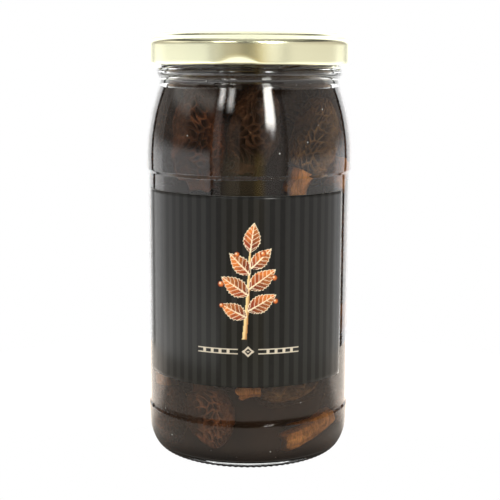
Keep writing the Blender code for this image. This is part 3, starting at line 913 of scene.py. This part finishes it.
# Each berry: place and radius.
SPRIG_BERRIES = [
    (4.6, 70.6, 0.95),
    (-3.6, 70.4, 0.85),
    (8.2, 63.0, 0.9),
    (-8.6, 61.0, 0.95),
    (8.6, 55.6, 0.85),
    (-8.4, 54.2, 0.8),
]
STALK_BEND = (-1.2, 2.6, -0.9)  # the stalk's place across, by powers of the share of its height
STALK_HALF_AT_FOOT = 0.75
STALK_HALF_AT_TOP = 0.35
MOTTLE_SIZE = (1.1, 1.3)
MOTTLE_SCATTER = 0.75
VEIN_SPACING = 1.5
VEIN_SLANT = 0.8
LINE_HALF = 0.24
ORNAMENT_HEIGHT = 39.6
LOZENGE = (2.0, 1.7)
RULE_FROM, RULE_TO, RULE_APART = 3.2, 16.5, 0.7
BEAD_FROM, BEAD_TO, BEAD_SPACING = 5.0, 15.4, 2.6

CREAM = np.array(srgb(250, 236, 205)[:3])
ORANGE = np.array(srgb(226, 132, 62)[:3])
RUST = np.array(srgb(150, 62, 38)[:3])
UMBER = np.array(srgb(62, 34, 28)[:3])
STRAW = np.array(srgb(246, 220, 160)[:3])
OCHRE = np.array(srgb(196, 142, 84)[:3])
PALE = np.array(srgb(214, 206, 188)[:3])


def mottle(x, y, seed):
    """A random number for each place, shared by all places nearest to the same scattered point."""
    width, height = MOTTLE_SIZE
    column, row = np.floor(x / width).astype(int), np.floor(y / height).astype(int)
    near = np.full(x.shape, np.inf)
    tone = np.zeros(x.shape)

    def hashed(i, j, salt):
        value = np.sin(i * 127.1 + j * 311.7 + salt * 74.7 + seed * 19.3) * 43758.5453
        return value - np.floor(value)

    for di in (-1, 0, 1):
        for dj in (-1, 0, 1):
            i, j = column + di, row + dj
            px = (i + 0.5 + MOTTLE_SCATTER * (hashed(i, j, 1) - 0.5)) * width
            py = (j + 0.5 + MOTTLE_SCATTER * (hashed(i, j, 2) - 0.5)) * height
            distance = np.hypot((x - px) / width, (y - py) / height)
            tone = np.where(distance < near, hashed(i, j, 3), tone)
            near = np.minimum(near, distance)
    return tone


def blend(base, over, amount):
    """Rows of colours between base and over, one for each amount."""
    return base + (over - base) * amount[:, None]


def paint(design, where, colours):
    """Lay colours over the design where the mask holds."""
    design[where, :3] = np.broadcast_to(colours, (len(design), 3))[where]
    design[where, 3] = 1.0


def print_stalk(design, x, y):
    up = np.clip((y - SPRIG_FOOT) / (SPRIG_TOP - SPRIG_FOOT), 0.0, 1.0)
    middle = STALK_BEND[0] + STALK_BEND[1] * up + STALK_BEND[2] * up * up
    half = STALK_HALF_AT_FOOT + (STALK_HALF_AT_TOP - STALK_HALF_AT_FOOT) * up
    inside = (np.abs(x - middle) < half) & (y > SPRIG_FOOT) & (y < SPRIG_TOP + 0.5)
    paint(design, inside, blend(STRAW, OCHRE, smooth_step(-0.2, 0.5, x - middle)))


def print_leaf(design, x, y, seed, lean, length, width):
    """One toothed leaf with a rib, slanting veins and a pale rim, its foot at the origin."""
    turn = math.radians(lean)
    across = x * math.cos(turn) - y * math.sin(turn)
    along = x * math.sin(turn) + y * math.cos(turn)
    t = np.clip(along / length, 0.0, 1.0)
    half = width / 2 * np.sin(math.pi * t**0.8) * (1.0 + 0.05 * np.sin(along * 6.0))
    inside = (along > 0.0) & (along < length) & (np.abs(across) < half)
    tone = mottle(across + 50.0, along + 50.0, seed)
    fill = blend(RUST, ORANGE, smooth_step(0.1, 0.75, t + 0.3 * (tone - 0.5)))
    fill = blend(fill, UMBER, smooth_step(0.0, 0.5, across) * 0.45)
    from_vein = (along - VEIN_SLANT * np.abs(across)) % VEIN_SPACING - VEIN_SPACING / 2
    vein = np.abs(from_vein) < 0.13
    rib = np.abs(across) < LINE_HALF - 0.14 * t
    rim = half - np.abs(across) < LINE_HALF
    light = np.maximum(np.where(rib | rim, 1.0, 0.0), np.where(vein, 0.75, 0.0))
    paint(design, inside, blend(fill, CREAM, light))


def print_berry(design, x, y, size):
    """One round berry with a glint at its upper left, its middle at the origin."""
    apart = np.hypot(x, y)
    glint = np.hypot(x + 0.3 * size, y - 0.3 * size)
    fill = blend(ORANGE, RUST, smooth_step(0.3, 1.0, apart / size))
    fill = blend(fill, CREAM, smooth_step(0.45, 0.2, glint / size))
    paint(design, apart < size, fill)


def print_ornament(design, x, y):
    """A lozenge between two beaded rules."""
    x, y = np.abs(x), np.abs(y)
    slant = x / LOZENGE[0] + y / LOZENGE[1]
    lozenge = (slant < 1.0) & (slant > 0.55)
    rules = (x > RULE_FROM) & (x < RULE_TO) & (np.abs(y - RULE_APART) < 0.2)
    from_bead = (x - BEAD_FROM) % BEAD_SPACING - BEAD_SPACING / 2
    beads = (y < 0.45) & (np.abs(from_bead) < 0.45) & (x > BEAD_FROM) & (x < BEAD_TO)
    paint(design, lozenge | (slant < 0.26) | rules | beads, PALE)


def print_colours(x, y):
    """Colour and coverage of the printed design at places on the label, in millimetres."""
    design = np.zeros((len(x), 4))
    print_stalk(design, x, y)
    for number, (x0, y0, lean, length, width) in enumerate(SPRIG_LEAVES):
        print_leaf(design, x - x0, y - y0, number + 5, lean, length, width)
    for x0, y0, size in SPRIG_BERRIES:
        print_berry(design, x - x0, y - y0, size)
    print_ornament(design, x, y - ORNAMENT_HEIGHT)
    return design


def label_material():
    """Satin printed paper with vertical stripes and the design over them."""
    made, nodes = new_material("label paper")
    place = nodes.place()
    x, y, z = nodes.split(place)
    phase = nodes.math("SUBTRACT", nodes.bearing(x, y), math.radians(STRIPE_MIDDLE))
    phase = nodes.math("MULTIPLY", phase, 360.0 / STRIPE_PERIOD)
    stripe = nodes.ramp(nodes.math("COSINE", phase), -STRIPE_SOFTNESS, STRIPE_SOFTNESS)
    low = nodes.ramp(z, LABEL_TOP, LABEL_BOTTOM)
    dark = nodes.mix(low, srgb(12, 12, 12), srgb(21, 21, 19))
    light = nodes.mix(low, srgb(33, 33, 32), srgb(42, 43, 40))
    base = nodes.mix(stripe, dark, light)
    fibre = nodes.noise(nodes.scaled(place, (900.0, 900.0, 500.0)), 1.0, 4.0, 0.6)
    base = nodes.mix(nodes.math("MULTIPLY", fibre, 0.12), base, srgb(74, 74, 72))
    ink = nodes.add("ShaderNodeAttribute", attribute_name="print")
    colour = nodes.mix(ink.outputs["Alpha"], base, ink.outputs["Color"])
    nodes.output(
        nodes.principled(
            Base_Color=colour,
            Roughness=nodes.ramp(fibre, 0.2, 0.8, 0.4, 0.55),
            Specular_IOR_Level=0.1,
            Coat_Weight=1.0,
            Coat_Roughness=0.14,
            Coat_IOR=1.2,
            Sheen_Weight=0.5,
            Sheen_Roughness=0.2,
            Normal=nodes.bump(fibre, 0.02 * MM, 0.5),
        )
    )
    return made


def paper_material():
    made, nodes = new_material("cut paper")
    place = nodes.place()
    fibre = nodes.noise(place, 2500.0, 4.0, 0.6)
    nodes.output(
        nodes.principled(
            Base_Color=nodes.mix(fibre, srgb(150, 150, 146), srgb(196, 196, 190)),
            Roughness=0.8,
            Normal=nodes.bump(fibre, 0.02 * MM),
        )
    )
    return made


# Juice


def make_juice():
    wall = [(radius - JUICE_GAP, height) for radius, height in inner_wall(5)]
    wall[0] = (wall[0][0], wall[0][1] + JUICE_GAP)
    profile = [(0.0, JUICE_TOP), (NECK_INNER - JUICE_GAP, JUICE_TOP)]
    profile += wall[::-1]
    profile.append((0.0, FLOOR_HEIGHT + FLOOR_CROWN + JUICE_GAP))
    juice = revolve("juice_body", filled(profile, PROFILE_SPACING), JUICE_SIDES)
    juice.data.materials.append(juice_material())
    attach(juice, "jar")
    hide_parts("juice")


JUICE_COLOUR = (0.62, 0.52, 0.4, 1.0)
JUICE_DENSITY = 330.0
HAZE = 0.15
HAZE_LOW = (0.14, 0.075, 0.045, 1.0)  # the haze's colour low in the jar
HAZE_HIGH = (0.06, 0.032, 0.019, 1.0)
HAZE_LOW_TO = 20.0 * MM
HAZE_HIGH_FROM = 105.0 * MM
BUBBLE_SCALE = 200.0
BUBBLE_COVER = 0.8


def juice_material():
    """Brown, slightly clouded liquid with a few tiny bubbles, darker the deeper one looks."""
    made, nodes = new_material("juice")
    clear = nodes.add("ShaderNodeBsdfTransparent")
    nodes.put(clear, "Color", WHITE)
    cloud = nodes.add("ShaderNodeBsdfDiffuse")
    place = nodes.place()
    height = nodes.ramp(nodes.split(place)["Z"], HAZE_LOW_TO, HAZE_HIGH_FROM)
    murk = nodes.mix(height, HAZE_LOW, HAZE_HIGH)
    patch = nodes.ramp(nodes.noise(place, 90.0, 3.0, 0.6), 0.35, 0.65, 0.45, 1.0)
    bubble = nodes.add("ShaderNodeTexVoronoi")
    nodes.put(bubble, "Vector", place)
    nodes.put(bubble, "Scale", BUBBLE_SCALE)
    speck = nodes.ramp(bubble.outputs["Distance"], 0.05, 0.035)
    nodes.put(cloud, "Color", nodes.mix(speck, nodes.mix(patch, BLACK, murk), WHITE))
    clouded = nodes.add("ShaderNodeMixShader")
    bubble_cover = nodes.math("MULTIPLY", speck, BUBBLE_COVER)
    nodes.put(clouded, 0, nodes.math("MAXIMUM", bubble_cover, HAZE))
    nodes.put(clouded, 1, clear.outputs[0])
    nodes.put(clouded, 2, cloud.outputs[0])
    depth = nodes.add("ShaderNodeVolumeAbsorption")
    nodes.put(depth, "Color", JUICE_COLOUR)
    nodes.put(depth, "Density", JUICE_DENSITY)
    nodes.output(clouded.outputs[0], depth.outputs[0])
    return made


# Morels


def wall_radius(heights):
    """The inner wall's radius at these heights."""
    wall = inner_wall(5)
    return np.interp(heights, [z for r, z in wall], [r for r, z in wall])


def to_wall(bearing, height, tilt, along, across, depth):
    """Points of a morel, given along its axis, across it and in from the wall, bent round the jar."""
    turn = math.radians(tilt)
    u = along * math.sin(turn) + across * math.cos(turn)
    z = height + along * math.cos(turn) - across * math.sin(turn)
    angle = math.radians(FRONT + bearing) + u / UNROLL_RADIUS
    radius = wall_radius(z) - WALL_CLEARANCE - depth
    return np.stack((radius * np.cos(angle), radius * np.sin(angle), z), -1)


def morel_half_width(t, cap_share, cap_width, stem_width):
    """Half the morel's width from its tip (0) to its foot (1)."""
    s = np.clip(t / cap_share, 0.0, 1.0)
    rising = np.sin(math.pi / 2 * (np.minimum(s / CAP_WIDEST, 1.0)) ** 0.7)
    past = np.clip((s - CAP_WIDEST) / (1.0 - CAP_WIDEST), 0.0, 1.0)
    cap = cap_width / 2 * np.where(s < CAP_WIDEST, rising, 1.0 - CAP_RIM_TAPER * past * past)
    foot = np.clip((t - cap_share) / (1.0 - cap_share), 0.0, 1.0)
    stem = stem_width / 2 * (1.0 + STEM_FLARE * foot * foot)
    return np.where(t < cap_share, cap, stem)


def full(value):
    return np.sign(value) * np.abs(value) ** SECTION_FULLNESS


def honeycomb(angle, along, columns, seed):
    """Ridge strength (1 on a ridge, 0 in a pit) and a random tone of each pit, closed round the cap."""
    x = angle / math.tau * columns
    y = along / CELL_LENGTH
    column, row = np.floor(x).astype(int), np.floor(y).astype(int)
    near = np.full(x.shape, np.inf)
    second = np.full(x.shape, np.inf)
    tone = np.zeros(x.shape)
    table = np.random.default_rng(seed).random((columns, CELL_ROWS, 3))
    for di in (-1, 0, 1):
        for dj in (-1, 0, 1):
            i, j = column + di, row + dj
            random_here = table[i % columns, (j + 8) % CELL_ROWS]
            px = i + 0.5 + CELL_SCATTER[0] * (random_here[..., 0] - 0.5)
            py = j + 0.5 + CELL_SCATTER[1] * (random_here[..., 1] - 0.5) + 0.5 * (i % 2)
            distance = np.hypot(x - px, y - py)
            closer = distance < near
            second = np.where(closer, near, np.minimum(second, distance))
            tone = np.where(closer, random_here[..., 2], tone)
            near = np.where(closer, distance, near)
    ridge = 1.0 - smooth_step(0.03, 0.4, second - near)
    return ridge, tone


def tube_faces(rings, segments):
    """Faces of a closed tube whose last two points are the tip and the foot."""
    tip = rings * segments
    faces = []
    for ring in range(rings - 1):
        for seg in range(segments):
            a = ring * segments + seg
            b = ring * segments + (seg + 1) % segments
            faces.append((a, b, b + segments, a + segments))
    last = (rings - 1) * segments
    for seg in range(segments):
        after = (seg + 1) % segments
        faces.append((tip, after, seg))
        faces.append((last + seg, last + after, tip + 1))
    return faces


def morel_shape(number, place):
    """A morel's points ring by ring with its tip and foot last, its count of rings, and its marks: the
    ridges, the tone of each pit, and where the stem is."""
    bearing, height, tilt = place[0], place[1] * MM, place[2]
    cap, width, stem, stem_width, thick, bend = (value * MM for value in place[3:])
    segments, cap_rings, stem_rings = COARSE_GRID if number in HIDDEN_TIER else FINE_GRID
    length = cap + stem
    cap_share = cap / length
    cap_t = cap_share * (np.linspace(0.04, 1.0, cap_rings) ** 1.25)
    stem_t = np.linspace(cap_share + 0.3 * MM / length, 1.0, stem_rings)
    t = np.concatenate((cap_t, stem_t))[:, None]
    angle = (np.arange(segments) * math.tau / segments)[None, :]
    t, angle = np.broadcast_arrays(t, angle)
    on_cap = t <= cap_share

    columns = WIDE_CAP_COLUMNS if width > WIDE_CAP else NARROW_CAP_COLUMNS
    twist = 0.14 * np.sin(t * 9.0 + number) + 0.08 * np.sin(3 * angle + 17.0 * t + number)
    slip = 0.9 * MM * np.sin(4 * angle + 2.0 * number)
    slip = slip + 0.5 * MM * np.sin(9 * angle + 8.0 * t)
    ridge, tone = honeycomb((angle + twist) % math.tau, t * length + slip, columns, number)
    edge_fade = smooth_step(0.0, 0.12, t / cap_share) * np.where(on_cap, 1.0, 0.0)
    pitted = 1.0 - PIT_DEPTH * (1.0 - ridge) * edge_fade * (0.75 + 0.5 * tone)

    waves = np.random.default_rng(100 + number).uniform(0.0, math.tau, 6)
    wander = (
        0.02 * np.sin(3 * angle + 14 * t + waves[0])
        + 0.02 * np.sin(5 * angle - 22 * t + waves[1])
        + 0.012 * np.sin(11 * angle + 50 * t + waves[2])
    )
    furrows = 0.05 * np.sin(7 * angle + waves[3] + 2.0 * np.sin(6 * t))
    furrows = furrows * np.where(on_cap, 0.0, 1.0)
    down_stem = np.clip((t - cap_share) / (1.0 - cap_share), 0.0, 1.0)
    waist = -0.12 * np.sin(math.pi * down_stem) ** 2 - 0.12 * down_stem**6
    out = pitted + wander - 0.03 + furrows + waist

    half = morel_half_width(t, cap_share, width, stem_width)
    half_depth = np.minimum(thick / 2, half * 0.5 + thick * 0.22)
    across = half * out * full(np.cos(angle)) + bend * down_stem**2
    depth = thick / 2 + half_depth * out * full(np.sin(angle))
    ragged = np.sin(3 * angle + waves[4]) + 0.6 * np.sin(7 * angle + waves[5]) + 1.6
    along = length * (0.5 - t) + 0.5 * MM * ragged * down_stem**3
    skin = to_wall(bearing, height, tilt, along, across, depth)
    ends = to_wall(
        bearing,
        height,
        tilt,
        np.array((length / 2, -length / 2 + FOOT_HOLLOW)),
        np.array((0.0, bend)),
        thick / 2,
    )
    points = np.concatenate((skin.reshape(-1, 3), ends))
    marks = np.zeros((len(points), 4), dtype=np.float32)
    marks[:-2, 0] = ridge.reshape(-1)
    marks[:-2, 1] = tone.reshape(-1)
    marks[:-2, 2] = np.where(on_cap, 0.0, 1.0).reshape(-1)
    marks[-1, 2] = 1.0
    marks[:, 3] = 1.0
    return points, len(t), marks


def make_morel(number, place, skin):
    points, rings, marks = morel_shape(number, place)
    segments = (len(points) - 2) // rings
    made = new_object(f"morel_flesh_{number:02d}", points, tube_faces(rings, segments))
    body = bmesh.new()
    body.from_mesh(made.data)
    bmesh.ops.recalc_face_normals(body, faces=body.faces)
    body.to_mesh(made.data)
    body.free()
    layer = made.data.attributes.new("marks", "FLOAT_COLOR", "POINT")
    layer.data.foreach_set("color", marks.reshape(-1))
    made.data.materials.append(skin)
    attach(made, "jar")
    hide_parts(f"morel_{number:02d}")


def morel_material(name, pit, crest, stem):
    """Wet morel flesh: dark pits, lighter ridges and a blotched stem, with fibres."""
    made, nodes = new_material(name)
    place = nodes.place()
    marks = nodes.add("ShaderNodeAttribute", attribute_name="marks")
    split = nodes.add("ShaderNodeSeparateColor")
    nodes.put(split, 0, marks.outputs["Color"])
    ridge, tone, on_stem = split.outputs
    fibre = nodes.noise(nodes.scaled(place, (1500.0, 1500.0, 350.0)), 1.0, 4.0, 0.6)
    blotch = nodes.noise(place, 220.0, 3.0, 0.55)
    wide = nodes.noise(place, 75.0, 2.0, 0.5)
    crest_here = nodes.math("MULTIPLY", ridge, nodes.ramp(blotch, 0.3, 0.65, 0.35, 1.0))
    cap = nodes.mix(crest_here, pit, crest)
    cap = nodes.mix(nodes.math("MULTIPLY", tone, 0.25), cap, crest)
    stem_shade = tuple(channel * 0.6 for channel in stem[:3]) + (1.0,)
    stem_here = nodes.mix(nodes.ramp(blotch, 0.35, 0.7), stem, stem_shade)
    colour = nodes.mix(on_stem, cap, stem_here)
    colour = nodes.mix(nodes.ramp(fibre, 0.35, 0.7, 0.0, 0.45), colour, srgb(30, 18, 12))
    shade = nodes.math(
        "MULTIPLY",
        nodes.ramp(wide, 0.4, 0.62, 0.0, 0.8),
        nodes.ramp(on_stem, 0.0, 1.0, 1.0, 0.2),
    )
    nodes.output(
        nodes.principled(
            Base_Color=nodes.mix(shade, colour, srgb(22, 14, 10)),
            Roughness=0.5,
            Specular_IOR_Level=0.1,
            Normal=nodes.bump(fibre, 0.15 * MM, 0.7),
        )
    )
    return made


# Skins: name, display colours of the pits, the ridges and the stem, and the morels that have this skin.
SKINS = [
    (
        "brown morel",
        (74, 48, 35),
        (160, 104, 70),
        (255, 176, 98),
        (4, 6, 9, 10, 11, 12, 13, 14, 17, 18, 20, 21),
    ),
    ("grey morel", (70, 52, 38), (166, 124, 80), (255, 176, 100), (3, 5, 7, 16, 19)),
    ("dark morel", (44, 32, 25), (112, 78, 56), (80, 54, 40), (2, 8)),
    ("russet morel", (72, 47, 35), (164, 104, 72), (120, 80, 56), (1, 15)),
]


def make_morels():
    skins = {}
    for name, pit, crest, stem, numbers in SKINS:
        skin = morel_material(name, srgb(*pit), srgb(*crest), srgb(*stem))
        skins.update({number: skin for number in numbers})
    for number, place in enumerate(MORELS, start=1):
        make_morel(number, place, skins[number])


def main():
    make_camera()
    make_world()
    make_floor()
    make_glass()
    make_lid()
    make_seal()
    make_label()
    make_juice()
    make_morels()
    bpy.context.scene.view_settings.view_transform = "Standard"


main()
